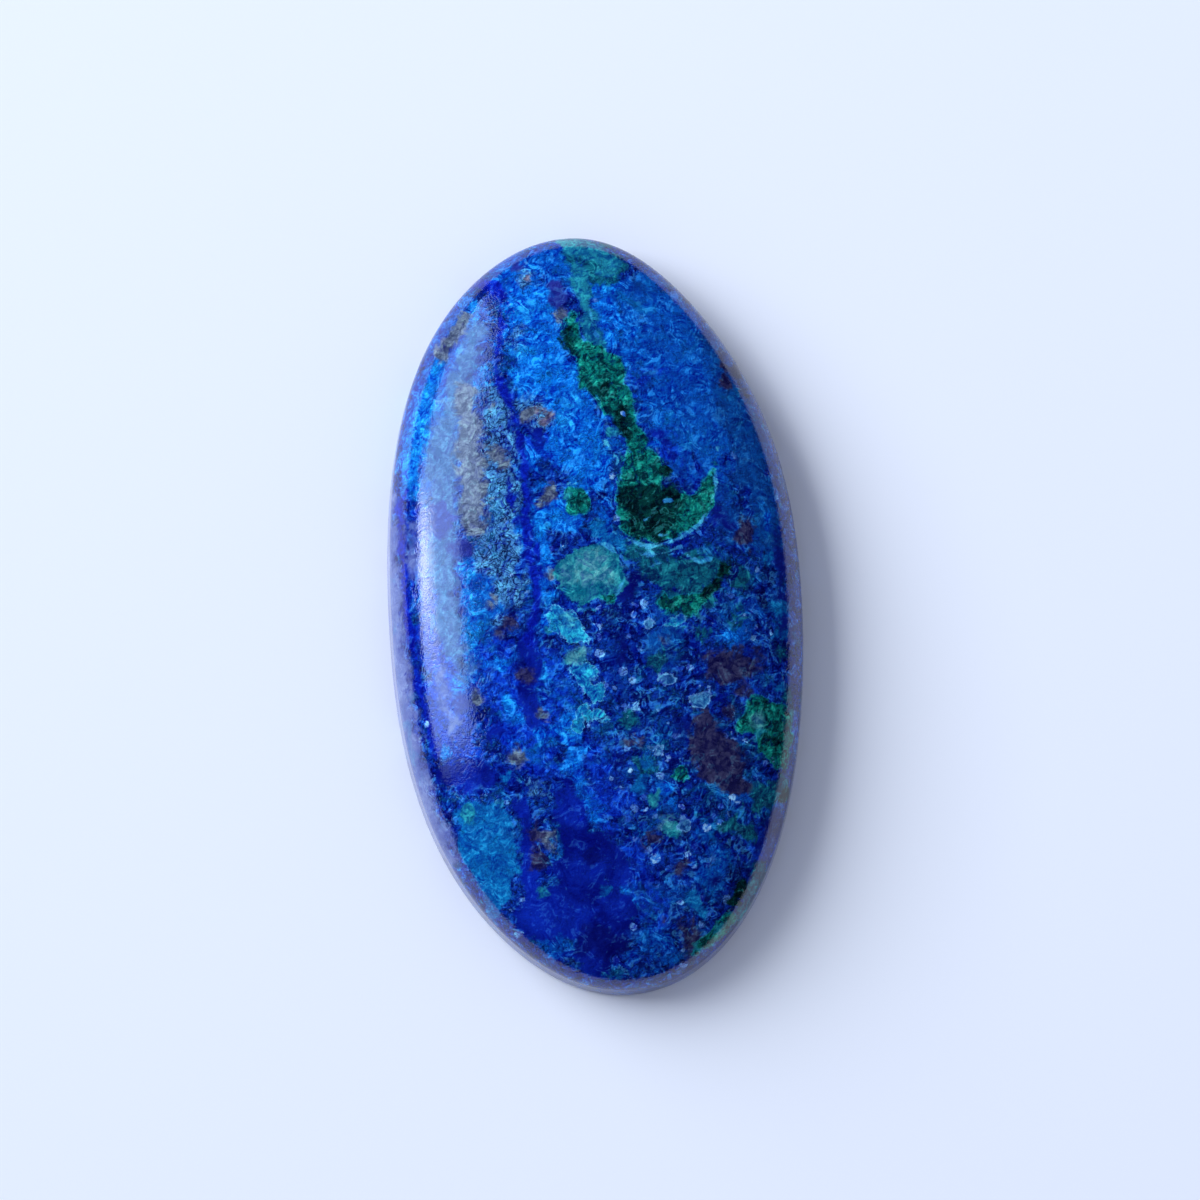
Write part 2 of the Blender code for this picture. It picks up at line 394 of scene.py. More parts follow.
            [(-3.6, -1.8, 0.4), (-3.5, -3.2, 0.3), (-4, -4.4, 0.35), (-3.7, -5.6, 0.25)],
            [(3.7, 8.5, 0.15), (4, 7.8, 0.15)],
        ],
        "spots": [(-2.3, 8.5, 0.25), (3.5, 11, 0.2), (-5.6, -6, 0.3)],
    },
    # thin veins of the same, clearer and brighter, and along the left edge a painted dark reflection
    "ultramarine": {
        "tones": ("#050E80", "#0A2AB8"), "grain": "felt",
        "needles": 0.6, "edge": 0.12, "ragged": 0.4,
        "strokes": [
            [(-4.4, 17, 0.2), (-3.8, 16.6, 0.35), (-3.4, 16, 0.2), (-3.55, 15.2, 0.09), (-3.6, 14.5, 0.09),
             (-3.75, 13.7, 0.08), (-4, 12.9, 0.12), (-4.05, 12, 0.12), (-3.85, 11.3, 0.3),
             (-3.6, 10.7, 0.28), (-3.45, 10, 0.16), (-3.25, 9, 0.16), (-3.1, 8.2, 0.15),
             (-3.05, 7.2, 0.15), (-3.1, 6.2, 0.15), (-3.15, 5, 0.25), (-3.2, 3.8, 0.26), (-3.3, 2.6, 0.16),
             (-3.05, 1.6, 0.18), (-3, 0.4, 0.18), (-3.3, -0.6, 0.25), (-3.6, -1.8, 0.25)],
            [(-3.9, 6.6, 0.05), (-3.85, 5.4, 0.07), (-3.65, 4.2, 0.07)],
            [(-2.9, 5.6, 0.05), (-2.85, 3.4, 0.06), (-2.75, 1.4, 0.05)],
            [(-3.6, 14.45, 0.07), (-2.6, 14.3, 0.06), (-1.3, 14.4, 0.07)],
            # painted reflection: this run along the left edge stands in for the dark band that the steep
            # side mirrors between the bright floor and the window
            [(-9, 6.6, 0.12), (-9.35, 6, 0.15), (-9.45, 4.6, 0.17), (-9.45, 2, 0.17), (-9.4, -1, 0.17),
             (-9.15, -3.2, 0.18), (-8.9, -5, 0.2), (-8.5, -6.6, 0.25)],
            [(6.3, 4.2, 0.1), (6.1, 3.5, 0.15)], [(-1.5, -9, 0.06), (-1.7, -10.6, 0.08)],
        ],
    },
    # the same, so dark that it is nearly black
    "indigo": {
        "tones": ("#04085C", "#0A1C80"), "grain": "cloud",
        "needles": 0.45, "edge": 0.3, "ragged": 1.0,
        "strokes": [
            [(-1.5, -16.6, 0.9), (-0.4, -16.8, 0.5)], [(6.2, 4, 0.2), (6.7, 3.4, 0.25)],
            [(1.2, 0.3, 0.45), (1.9, 0.9, 0.3)], [(9.2, 3, 0.2), (9.3, -2.8, 0.2)],
            [(7.9, -11.2, 0.5), (7.3, -12.8, 0.4)],
        ],
        "spots": [
            (-1.3, -12.6, 0.3), (-4.2, -3, 0.2), (0.8, -2.4, 0.4), (3.4, -6.8, 0.4), (0.2, -7.8, 0.3),
            (4.6, -14.2, 0.2), (-3.6, -5.2, 0.25), (-4.7, -8.4, 0.25),
        ],
    },
    "violet": {
        "tones": ("#142078", "#2C3898"), "grain": "cloud",
        "needles": 0.5, "edge": 0.2, "ragged": 0.8,
        "strokes": [
            [(-4.6, 17, 0.15), (-4.1, 17, 0.15)], [(-0.6, 16.3, 0.3), (-0.55, 15.6, 0.3)],
            [(-7.5, 5.4, 0.5), (-7.1, 4.6, 0.5)],
        ],
        "spots": [(-2.6, 17.7, 0.15), (-6.6, 3.4, 0.45), (-7.1, -4.4, 0.3)],
    },
    # cuprite and clay in the right-hand side, dark plum
    "plumBrown": {
        "tones": ("#18184A", "#38385E"), "grain": "blotch",
        "needles": 0.55, "edge": 0.2, "ragged": 1.1,
        "strokes": [
            [(5.3, -3.4, 0.5), (6.2, -3.7, 0.8), (7.4, -3.4, 0.5)],
            [(4.6, -6.4, 0.6), (4.8, -7.6, 1), (5.4, -8.6, 1), (6.4, -9.5, 0.45)],
            [(2.7, -16.2, 0.5), (3.3, -16.9, 0.5)], [(7.3, 12.4, 0.2), (7.4, 10.6, 0.25)],
            [(7.9, 11.4, 0.25), (8.3, 10, 0.2)], [(-4.5, -0.6, 0.3), (-5.2, -1.1, 0.25)],
            [(7.4, 2.6, 0.3), (7.8, 3.6, 0.35)], [(-4, -10.4, 0.2), (-3.9, -12.6, 0.25)],
        ],
        "spots": [
            (5.9, -5.9, 0.5), (6.7, -4.8, 0.35), (3.3, -2.2, 0.3), (1.2, -7, 0.3), (1.5, -12, 0.35),
            (-3.9, -3.3, 0.25), (2.8, -13.4, 0.3),
        ],
    },
    # dark sea green, half way from the blue to the malachite
    "deepTeal": {
        "tones": ("#07365A", "#0F667C"), "grain": "blotch",
        "needles": 0.7, "edge": 0.2, "ragged": 1.0,
        "strokes": [
            [(5.6, -11.6, 0.5), (6.3, -11.8, 0.5)],
            [(0.6, 18, 0.8), (2, 17.4, 0.9), (1.4, 16.8, 0.5)],
            [(1.6, 2.3, 0.4), (3, 2.2, 0.6)],
            [(3, 1.2, 0.6), (4.4, 0.8, 1.1), (5.6, 1.1, 0.8)],
            [(3.6, -0.3, 0.7), (5, -0.4, 0.6)], [(7, -10.5, 0.5), (8, -9.8, 0.8)],
            [(5.9, -16, 0.5), (6.9, -13.9, 0.4)], [(9.1, -5, 0.3), (9, -6.5, 0.3)],
        ],
        "spots": [
            (6.6, -1.2, 0.4), (4.8, -2, 0.4), (8.9, -3, 0.3), (7.2, 0.6, 0.5), (1, -6, 0.4),
            (2.6, -3.3, 0.5), (1.5, -8.4, 0.4),
        ],
    },
    # chrysocolla, teal and turquoise
    "teal": {
        "tones": ("#064A94", "#0C74B8"), "grain": "felt",
        "needles": 0.65, "edge": 0.16, "ragged": 0.9,
        "strokes": [
            [(-7.2, -10, 0.8), (-6.4, -11.2, 1.4), (-6.2, -12.6, 1.1), (-6.3, -13.8, 0.7),
             (-6.4, -14.6, 0.3)],
            [(0.9, 2.9, 0.4), (0.4, 3.5, 0.5), (1.4, 2.5, 0.2)],
            [(9, -0.8, 0.35), (9, -2, 0.25)], [(3.4, -15, 0.2), (3.8, -15.7, 0.2)],
        ],
        "spots": [
            (-5.4, -8.5, 0.25), (8.8, -4.6, 0.3), (-1, -14.2, 0.2), (8.6, 1.6, 0.3), (1.2, -9.3, 0.3),
            (1.6, -8.3, 0.25),
        ],
    },
    # pale sea green along the top of the streak
    "seaGreen": {
        "tones": ("#0A5486", "#1C7E98"), "grain": "blotch",
        "needles": 0.6, "edge": 0.14, "ragged": 0.7,
        "strokes": [
            [(0.2, 18.3, 0.3), (1.6, 17.9, 0.4), (2.4, 17.2, 0.35), (1.8, 16.8, 0.35)],
            [(0.5, 17, 0.4), (0.6, 16, 0.35), (0.75, 15, 0.3), (0.8, 13.9, 0.26), (1.2, 13, 0.35)],
            [(-1.9, -2.9, 0.15), (-1.4, -2.75, 0.22), (-1.1, -2.8, 0.15)],
        ],
        "spots": [
            (1.5, 8.4, 0.15), (-7.3, -9.8, 0.4), (0.2, -6.3, 0.25), (-3.9, -13.9, 0.3), (3.8, -1.5, 0.25),
            (-2.6, -1.3, 0.15),
        ],
    },
    "turquoise": {
        "tones": ("#0A5CA8", "#20A0C8"), "grain": "blotch",
        "needles": 0.8, "edge": 0.07, "ragged": 0.8, "rim": ("#60C0EC", 0.07, 0.5),
        "strokes": [
            [(-2.1, -0.5, 0.45), (-1.7, -1, 0.6), (-1.25, -1.5, 0.45)],
            [(3.5, -1.35, 0.12), (3.9, -1.3, 0.12)], [(-1.3, -3.35, 0.35), (-0.95, -3.7, 0.45)],
            [(-0.9, -4.4, 0.3), (-0.4, -4.6, 0.42)], [(-1, -5.5, 0.4), (-0.5, -5.6, 0.48)],
        ],
        "spots": [(-1.5, -6.15, 0.2)],
    },
    # malachite, from nearly black to a milky green
    "malachite": {
        "tones": ("#033C3E", "#0A7E74"), "grain": "blotch",
        "needles": 0.95, "edge": 0.1, "ragged": 0.5, "rim": ("#1890A8", 0.07, 0.5),
        "strokes": [
            [(0, 14.6, 0.35), (-0.2, 13.5, 0.4), (0.1, 12.9, 0.4), (0.9, 12.1, 0.85), (1.5, 11.5, 0.9)],
            [(0.6, 11.2, 0.5), (1.5, 10.7, 0.85), (1.9, 9.8, 0.75), (2.2, 8.8, 0.5), (2.5, 7.8, 0.45)],
            [(2.3, 7, 0.5), (3, 6.6, 0.8), (2.6, 5.8, 1.1), (2.4, 5, 1.1), (2.7, 4.2, 1.35), (3.4, 4, 1.3),
             (4.4, 4.2, 1.1)],
            [(4.9, 4.2, 0.9), (5.5, 4.6, 0.65), (5.95, 5.4, 0.32), (6.25, 6.1, 0.14), (6.5, 7, -0.12)],
            [(-0.9, 5.5, 0.35), (-0.45, 5.1, 0.55), (-0.9, 4.7, 0.25)],
            [(3.5, -0.4, 0.45), (4.4, -0.5, 0.5), (5.2, -0.2, 0.4)],
            [(6.6, -6.6, 0.3), (7.6, -6.3, 1), (8.2, -6.3, 0.9), (8.1, -7.2, 1), (8.3, -8.3, 0.5)],
            [(3.4, -17.4, 0.2), (4.3, -16.8, 0.25), (5.2, -15.9, 0.2)],
        ],
        "spots": [(3.3, -8.8, 0.4), (0.5, 0.5, 0.6)],
    },
    "malachiteDark": {
        "tones": ("#02181C", "#053A38"), "grain": "blotch",
        "needles": 0.8, "edge": 0.16, "ragged": 0.8,
        "strokes": [
            [(1.8, 4.9, 0.5), (2.6, 4.6, 1), (3.3, 4.3, 1.1), (4, 4.7, 0.7)],
            [(2.3, 3.6, 0.6), (3.3, 3.3, 0.5)], [(2, 9.3, 0.3), (2.2, 8.4, 0.25)],
            [(-0.2, 14, 0.2), (-0.4, 13, 0.22)],
            [(6.35, 1.3, 0.1), (5.8, 0.4, 0.28), (5.3, -0.1, 0.18)],
            [(5.4, -15.2, 0.35), (5.9, -14.4, 0.25)],
        ],
        "spots": [
            (4.3, 5.5, 0.25), (3.9, 6.3, 0.25), (1.3, 10.6, 0.25), (-0.5, 5, 0.25), (8.4, -7.4, 0.2),
            (8.5, -10, 0.2),
        ],
    },
    "paleGreen": {
        "tones": ("#076480", "#24889A"), "grain": "blotch",
        "needles": 0.6, "edge": 0.1, "ragged": 0.7,
        "strokes": [
            [(-0.6, 1.3, 1.4), (-0.1, 1.4, 1.45)], [(0, 18.7, 0.3), (0.9, 18.6, 0.2)],
            [(4.4, -16.6, 0.12), (4.9, -16.2, 0.15)], [(7.5, -6.7, 0.25), (7.3, -7.4, 0.1)],
        ],
        "spots": [
            (-0.6, 0.3, 0.45), (-1.1, 5.35, 0.12), (2.6, -11.4, 0.45), (1.9, -10, 0.25), (3.25, 5.8, 0.12),
        ],
    },
    "milkyGreen": {
        "tones": ("#2A8094", "#5CA4B0"), "grain": "blotch",
        "needles": 0.5, "edge": 0.45, "ragged": 1.0, "cover": 0.85,
        "strokes": [[(-0.9, 1.5, 0.6), (0.1, 1.7, 0.7), (0.6, 1.2, 0.4)]],
        "spots": [(2.6, -11.4, 0.25), (7.4, -6.5, 0.1), (-1.4, -2.75, 0.2), (-1.5, -0.8, 0.15)],
    },
    # thin bright seams round the green
    "cyanSeam": {
        "tones": ("#1878B4", "#48B4DC"), "grain": "cloud",
        "needles": 0.6, "edge": 0.05, "ragged": 0.3,
        "strokes": [
            [(0.7, 3.6, 0.03), (1.5, 3.1, 0.05), (2.3, 2.65, 0.06), (3.3, 2.5, 0.05), (4.4, 2.85, 0.06),
             (5.3, 3.45, 0.04), (5.95, 4.3, 0.03), (6.3, 5.2, 0.02), (6.6, 7.4, 0)],
            [(1.6, 2.6, 0.03), (2.4, 2.1, 0.05), (3.3, 2.1, 0.04), (4.3, 2.4, 0.04)],
            [(2.2, 1.8, 0.04), (2.7, 1.5, 0.05), (3.4, 1.7, 0.04)],
            [(0.3, 3, 0.03), (1, 2.4, 0.04), (1.5, 1.8, 0.03)],
            [(4.6, 1.9, 0.05), (5.2, 1.6, 0.05), (5.8, 1.7, 0.05)],
            [(0.2, -0.35, 0.05), (0.8, 0.05, 0.06), (1.4, 1, 0.04)],
            [(-1, -0.4, 0.05), (-0.2, -0.45, 0.05)],
            [(0.9, 15.2, 0.02), (0.95, 14, 0.03), (1.2, 13.2, 0.03)],
            [(-1.3, 6.05, 0.03), (-0.2, 5.9, 0.03)],
            [(0.1, 4.2, 0.04), (0.8, 3.9, 0.05), (1.05, 3.4, 0.04)],
            [(1, 8, 0.05), (1.6, 7, 0.06), (1.35, 6.2, 0.05)],
            [(3.3, 3, 0.04), (4.6, 3.1, 0.03)],
            [(4, 4.7, 0.02), (3.8, 4.8, 0.02), (3.7, 4.7, 0.02)],
            [(2.9, 4, 0.02), (2.6, 3.8, 0.02)],
        ],
    },
    # round nodules with a pale rind
    "nodules": {
        "tones": ("#14488C", "#4084B8"), "grain": "blotch",
        "needles": 0.6, "edge": 0.05, "ragged": 0.5, "rim": ("#6CA8E4", 0.08, 0.6),
        "strokes": [[(2.9, -4.1, 0.3), (3.1, -4.1, 0.3)], [(4.4, -5.25, 0.3), (4.7, -5.25, 0.32)]],
        "spots": [
            (2.4, -1.3, 0.2), (7.6, -2.3, 0.15), (3.25, -11.3, 0.25), (2.3, -7.6, 0.15),
            (4.9, -13.1, 0.15), (-5.4, -15.87, 0.16), (1.4, -5.4, 0.15),
        ],
    },
    # single pale grains that catch the eye
    "paleGrains": {
        "tones": ("#2C70D0", "#8CC0F0"), "grain": "blotch",
        "needles": 0.6, "edge": 0.05, "ragged": 0.5,
        "strokes": [
            [(-1.5, 2.9, 0.03), (-1.2, 3.1, 0.03)], [(-0.7, 3.2, 0.06), (-0.3, 3, 0.05)],
            [(6.05, -7, 0.05), (6.15, -7.3, 0.04)], [(4.1, -13.8, 0.1), (3.9, -13.4, 0.06)],
            [(1.6, -12.7, 0.06), (1.75, -12.95, 0.05)],
        ],
        "spots": [
            (-6, 5.35, 0.06), (-4.1, 4.35, 0.08), (-4.7, 4.3, 0.05), (-5, 3.2, 0.05), (-3.5, 0.7, 0.06),
            (-4.2, 1.7, 0.05), (1.25, 6.15, 0.04), (4.6, -4.6, 0.08), (4.35, -11.6, 0.2), (5, -11.35, 0.1),
            (5.75, -10.15, 0.1), (6.1, -10.4, 0.06), (3.1, -13.75, 0.06), (0.4, -3.5, 0.07),
            (1.05, -3.5, 0.06), (2.45, -7.7, 0.1), (2, -7.6, 0.07), (3.25, -8.1, 0.05), (0.8, -8.5, 0.05),
            (-1.25, -8.75, 0.05), (1.5, -10.5, 0.05), (7.2, -1.15, 0.05), (6.9, -1.35, 0.05),
            (8, -8.4, 0.06), (0.4, -5.4, 0.08), (0.85, -5.75, 0.07), (1.7, -0.85, 0.07), (2.05, 9.3, 0.05),
            (-3.07, 15.6, 0.04), (-8.9, -5.1, 0.02), (8.5, 5.2, 0.05),
        ],
    },
}
# where the rock is a jumble of small pale grains, as strokes
grainyGround = [
    [(1, -1.6, 1.2), (1.8, -5, 2), (2.4, -9, 2.4), (3.2, -12.6, 2.4), (2.6, -15, 1.6)],
    [(7.8, -1.4, 1), (8, 1, 1)],
]
# mm that the markings move on their way down the side and under, and its waves per mm
backShift = {"mean": (1.4, -1.1), "spread": 1.6, "waves": 0.35}

# small pits that the polish didn't reach: (x, y, radius, depth) in mm
pits = [
    (-3.65, -11.6, 0.3, 0.05), (3.35, -11.35, 0.2, 0.05), (-5.4, -15.87, 0.2, 0.05), (5.4, 0.1, 0.35, 0.06),
    (1.75, -12.9, 0.22, 0.04), (-4.6, 7.5, 0.3, 0.03), (-4.2, 9.2, 0.22, 0.03), (3.2, 4.5, 0.25, 0.04),
    (-1.9, 9.5, 0.25, 0.03), (6.1, -7.1, 0.25, 0.05), (8.4, 5.3, 0.25, 0.04), (-2.2, 5.4, 0.3, 0.03),
    (0.6, 0, 0.25, 0.04), (-3.2, -5.3, 0.25, 0.04), (4.4, -6.3, 0.25, 0.03), (-6.3, -4.3, 0.22, 0.03),
]
farOutside = -9.0  # mm, depth of points far from every stroke


def pressPits(mesh):
    # lowers the points of the dome inside each pit, most in its middle
    places = np.empty(len(mesh.vertices) * 3, dtype=np.float32)
    mesh.vertices.foreach_get("co", places)
    places = places.reshape(-1, 3)
    onDome = places[:, 2] > body["Side Height"]
    for x, y, radius, depth in pits:
        away = np.hypot(places[:, 0] / mm - x, places[:, 1] / mm - y) / radius
        places[:, 2] -= onDome * depth * mm * np.clip(1 - away**2, 0, 1) ** 2
    mesh.vertices.foreach_set("co", places.ravel())
    mesh.update()


def depthInside(points, strokes, spots=()):
    # how deep each point lies inside the nearest stroke or spot, in mm, and below zero outside
    depth = np.full(len(points), farOutside)
    for x, y, radius in spots:
        depth = np.maximum(depth, radius - np.hypot(points[:, 0] - x, points[:, 1] - y))
    for stroke in strokes:
        for (x0, y0, r0), (x1, y1, r1) in zip(stroke, stroke[1:]):
            run = np.array((x1 - x0, y1 - y0))
            away = points - (x0, y0)
            part = np.clip(away @ run / (run @ run), 0, 1)
            gap = np.hypot(*(away - part[:, None] * run).T)
            depth = np.maximum(depth, r0 + (r1 - r0) * part - gap)
    return depth


def addMarkings(mesh):
    # gives the mesh one value per point for each mineral, from places seen through the dome
    places = np.empty(len(mesh.vertices) * 3, dtype=np.float32)
    mesh.vertices.foreach_get("co", places)
    places = places.reshape(-1, 3) / mm
    under = np.clip(1 - places[:, 2] / (body["Side Height"] / mm), 0, 1)
    waves = backShift["waves"]
    noise.seed_set(body["Seed"])
    sway = np.array([noise.noise_vector(Vector(place) * waves)[:2] for place in places])
    shift = np.array(backShift["mean"]) + backShift["spread"] * sway
    seen = places[:, :2] + under[:, None] * shift
    fields = {"grainy": depthInside(seen, grainyGround)}
    for name, marking in markings.items():
        fields[name] = depthInside(seen, marking["strokes"], marking.get("spots", ()))
    for name, values in fields.items():
        field = mesh.attributes.new(name, "FLOAT", "POINT")
        field.data.foreach_set("value", values.astype(np.float32))
    print("markings:", len(fields), "fields on", len(seen), "points")


# The stone: azurite rock, cut, domed by hand and polished with fine oxide. To the eye it is deep
# blue with a wet gloss, mottled like felt where needles of azurite lie across each other.
polish = {
    "ground": ("#041058", "#0C3CAC"),  # the plain rock under everything else
    "groundNeedles": 1.2,
    "jumble": [  # angular grains, the palest few in each handful: (mm, share, strength, tones)
        (1.224, 0.9, 0.6, ("#060E50", "#0A46B0")),
        (0.612, 0.5, 0.6, ("#061260", "#1460B4")),
        (0.36, 0.36, 0.95, ("#1844B0", "#6CA4E4")),
    ],
    "chipReach": 0.35,  # mm, how far the chipped edges of the grains stray
    "toothReach": 2.5,  # mm, how far a marking's edge strays, times its own "ragged"
    "tealDrift": ("#0A78A8", 0.35),  # copper salts that turn the blue greenish here and there
    "driftUnder": "ironGrey",  # they stain the blues that are painted before this marking
    "gap": "#030A30",  # the dark between two needles
    "tuftRings": 19.0,  # how closely the needles lie beside each other in a tuft
    "needleStep": 0.055,  # mm, from the painted shaded side of a needle to the painted lit one
    "needleRelief": 1.5,  # strength of single needles beside that of the tufts
    "reliefAndPaintedShade": (1.2, 1.2, 0.55),  # painted light and shade: how much brighter the lit side of a needle is, by red, green and blue
    "darkest": (0.15, 0.15, 0.3),  # what the painted shaded side keeps of the colour
    "paintedGlint": (0.02, 0.12, 0.16),  # painted highlight that the lit side adds, by red, green and blue
    "bumpHeight": 0.003,  # mm
    "roughness": 0.09,
    "backRoughness": 0.45,  # the back is only ground
    "backDust": "#7C8CB0",
    "backPale": 0.22,
    "ior": 1.72,
}
# noises in the rock: size of a lump in mm, detail, distortion, and a shift so that no two are alike
noises = {
    "cloud": (1.0, 4.0, 0.6, 20.0),
    "felt": (0.2, 3.0, 1.0, 0.0),  # tufts of needles
    "blotch": (0.2, 3.0, 0.8, 30.0),  # darker and lighter spots in the green
    "curl": (0.25, 1.5, 1.6, 40.0),  # the black curls
    "teeth": (0.5, 5.0, 0.5, 60.0),  # the ragged edges of the minerals
    "chips": (0.2, 2.0, 0.0, 70.0),  # the chipped edges of the grains
    "greenish": (0.8, 4.0, 0.8, 90.0),  # where copper salts stain the blue
    "patchy": (0.35, 2.0, 0.0, 110.0),  # where single needles show, and where tufts do
    "longGap": (0.4, 1.5, 1.3, 124.0),  # gaps between needles
    "shortGap": (0.17, 1.5, 1.3, 121.7),
    "nearSide": (0.14, 1.0, 1.6, 140.0),  # single needles
    "farSide": (0.14, 1.0, 1.6, 140.0),  # the same, read a little to one side
    "tuft": (0.45, 2.0, 1.2, 150.0),  # how far a tuft of needles runs before it turns
}
# winding lines where a noise crosses its middle, and their width in its own values
lineWidths = {"curl": 0.09, "longGap": 0.03, "shortGap": 0.06}


def stoneMaterial():
    material = bpy.data.materials.new("polished azurite, malachite and chrysocolla")
    material.use_nodes = True
    tree = material.node_tree
    shader = tree.nodes["Principled BSDF"]
    maths, vector = "ShaderNodeMath", "ShaderNodeVectorMath"
    mapping, blend = "ShaderNodeMapRange", "ShaderNodeMix"
    smooth = {"interpolation_type": "SMOOTHSTEP"}

    def paint(under, cover, tones, grain):
        # lays a pair of tones, mixed by a grain, over what is already there
        dark, light = (linearColour(tone) for tone in tones)
        tone = addNode(tree, blend, [grain, dark, light], data_type="RGBA")
        return addNode(tree, blend, [cover, under, tone], data_type="RGBA")

    place = addNode(tree, "ShaderNodeTexCoord", out="Object")
    place = addNode(tree, vector, {0: place, "Scale": 1 / mm}, operation="SCALE")
    lumps, tints = {}, {}
    for name, (size, detail, distortion, shift) in noises.items():
        aside = polish["needleStep"] if name == "farSide" else 0.0
        moved = addNode(tree, vector, [place, (shift + aside, shift - aside, shift)])
        settings = {"Vector": moved, "Scale": 0.5 / size, "Detail": detail, "Roughness": 0.6}
        settings["Distortion"] = distortion
        lumps[name], tints[name] = addNode(tree, "ShaderNodeTexNoise", settings).node.outputs[:2]
    lines = {}
    for name, width in lineWidths.items():
        off = addNode(tree, maths, [lumps[name], 0.5], operation="SUBTRACT")
        off = addNode(tree, maths, [off], operation="ABSOLUTE")
        lines[name] = addNode(tree, mapping, [off, width, 0.0], **smooth)

    cloud = addNode(tree, mapping, [lumps["cloud"], 0.3, 0.7], **smooth)
    felt = addNode(tree, mapping, [lumps["felt"], 0.4, 0.6], **smooth)
    felt = addNode(tree, maths, [cloud, 0.4, felt], operation="MULTIPLY_ADD")  # paler in the clouds
    felt = addNode(tree, maths, [felt, 0.71], operation="MULTIPLY", use_clamp=True)
    blotch = addNode(tree, mapping, [lumps["blotch"], 0.4, 0.6], **smooth)
    curl = addNode(tree, maths, [1.0, lines["curl"]], operation="SUBTRACT")
    grains = {"felt": felt, "cloud": cloud, "curl": curl, "blotch": blotch}
    teeth = addNode(tree, vector, [tints["teeth"], (0.5, 0.5, 0.5)], operation="SUBTRACT")
    teeth = addNode(tree, vector, {0: teeth, "Scale": polish["toothReach"]}, operation="SCALE")
    teeth = addNode(tree, "ShaderNodeSeparateXYZ", [teeth]).node.outputs

    colour = paint((0, 0, 0, 1), 1.0, polish["ground"], felt)
    needles = polish["groundNeedles"]

    # the jumble of grains
    chips = {0: tints["chips"], "Scale": polish["chipReach"]}
    chips = addNode(tree, vector, chips, operation="SCALE")
    chips = addNode(tree, vector, [place, chips])
    density = addNode(tree, "ShaderNodeAttribute", attribute_name="grainy", out="Fac")
    density = addNode(tree, mapping, [density, -2.0, 1.2])  # from 0 outside the jumble to 1 in it
    for size, share, strength, tones in polish["jumble"]:
        cells = {"Vector": chips, "Scale": 0.75 / size}
        cells = addNode(tree, "ShaderNodeTexVoronoi", cells).node.outputs
        pick = addNode(tree, "ShaderNodeSeparateXYZ", [cells["Color"]]).node.outputs
        wanted = addNode(tree, mapping, [density, 0.0, 1.0, 0.1 * share, share])
        chosen = addNode(tree, maths, [pick[0], wanted], operation="LESS_THAN")
        reach = addNode(tree, maths, [pick[1], 0.35, 0.22], operation="MULTIPLY_ADD")
        reach = addNode(tree, maths, [reach, cells["Distance"]], operation="SUBTRACT")
        cover = addNode(tree, mapping, [reach, -0.04, 0.1, 0.0, strength], **smooth)
        cover = addNode(tree, maths, [cover, chosen], operation="MULTIPLY")
        pale = addNode(tree, maths, [pick[2], 2.0], operation="POWER")
        colour = paint(colour, cover, tones, pale)

    for index, (name, marking) in enumerate(markings.items()):
        if name == polish["driftUnder"]:
            drift, most = polish["tealDrift"]
            stain = addNode(tree, mapping, [lumps["greenish"], 0.5, 0.72, 0.0, most], **smooth)
            colour = addNode(tree, blend, [stain, colour, linearColour(drift)], data_type="RGBA")
        depth = addNode(tree, "ShaderNodeAttribute", attribute_name=name, out="Fac")
        depth = [teeth[index % 3], marking["ragged"], depth]
        depth = addNode(tree, maths, depth, operation="MULTIPLY_ADD")
        soft = marking["edge"]
        cover = [depth, -soft, soft, 0.0, marking.get("cover", 1.0)]
        cover = addNode(tree, mapping, cover, **smooth)
        colour = paint(colour, cover, marking["tones"], grains[marking["grain"]])
        needles = addNode(tree, blend, [cover, needles, marking["needles"]], data_type="FLOAT")
        if "rim" in marking:
            rimColour, rimWidth, rimStrength = marking["rim"]
            rim = addNode(tree, maths, [depth], operation="ABSOLUTE")
            rim = addNode(tree, mapping, [rim, rimWidth, 0.0, 0.0, rimStrength], **smooth)
            colour = addNode(tree, blend, [rim, colour, linearColour(rimColour)], data_type="RGBA")

    # dark gaps between single needles
    for name, most in (("longGap", 0.6), ("shortGap", 0.5)):
        where = addNode(tree, mapping, [lumps["patchy"], 0.47, 0.6, 0.0, most], **smooth)
        gap = addNode(tree, maths, [lines[name], where], operation="MULTIPLY")
        gap = addNode(tree, maths, [gap, needles], operation="MULTIPLY", use_clamp=True)
        colour = addNode(tree, blend, [gap, colour, linearColour(polish["gap"])], data_type="RGBA")
    # tufts lie in curls: rings of painted light and shade along the contours of a noise
    rings = addNode(tree, maths, [lumps["tuft"], polish["tuftRings"]], operation="MULTIPLY")
    rings = addNode(tree, maths, [rings], operation="SINE")
    bright = addNode(tree, mapping, [rings, 0.4, 0.95, 0.0, 0.75], **smooth)
    dark = addNode(tree, mapping, [rings, -0.2, -0.9, 0.0, 0.65], **smooth)
    rings = addNode(tree, maths, [bright, dark], operation="SUBTRACT")
    where = addNode(tree, mapping, [lumps["patchy"], 0.62, 0.4], **smooth)
    rings = addNode(tree, maths, [rings, where], operation="MULTIPLY")
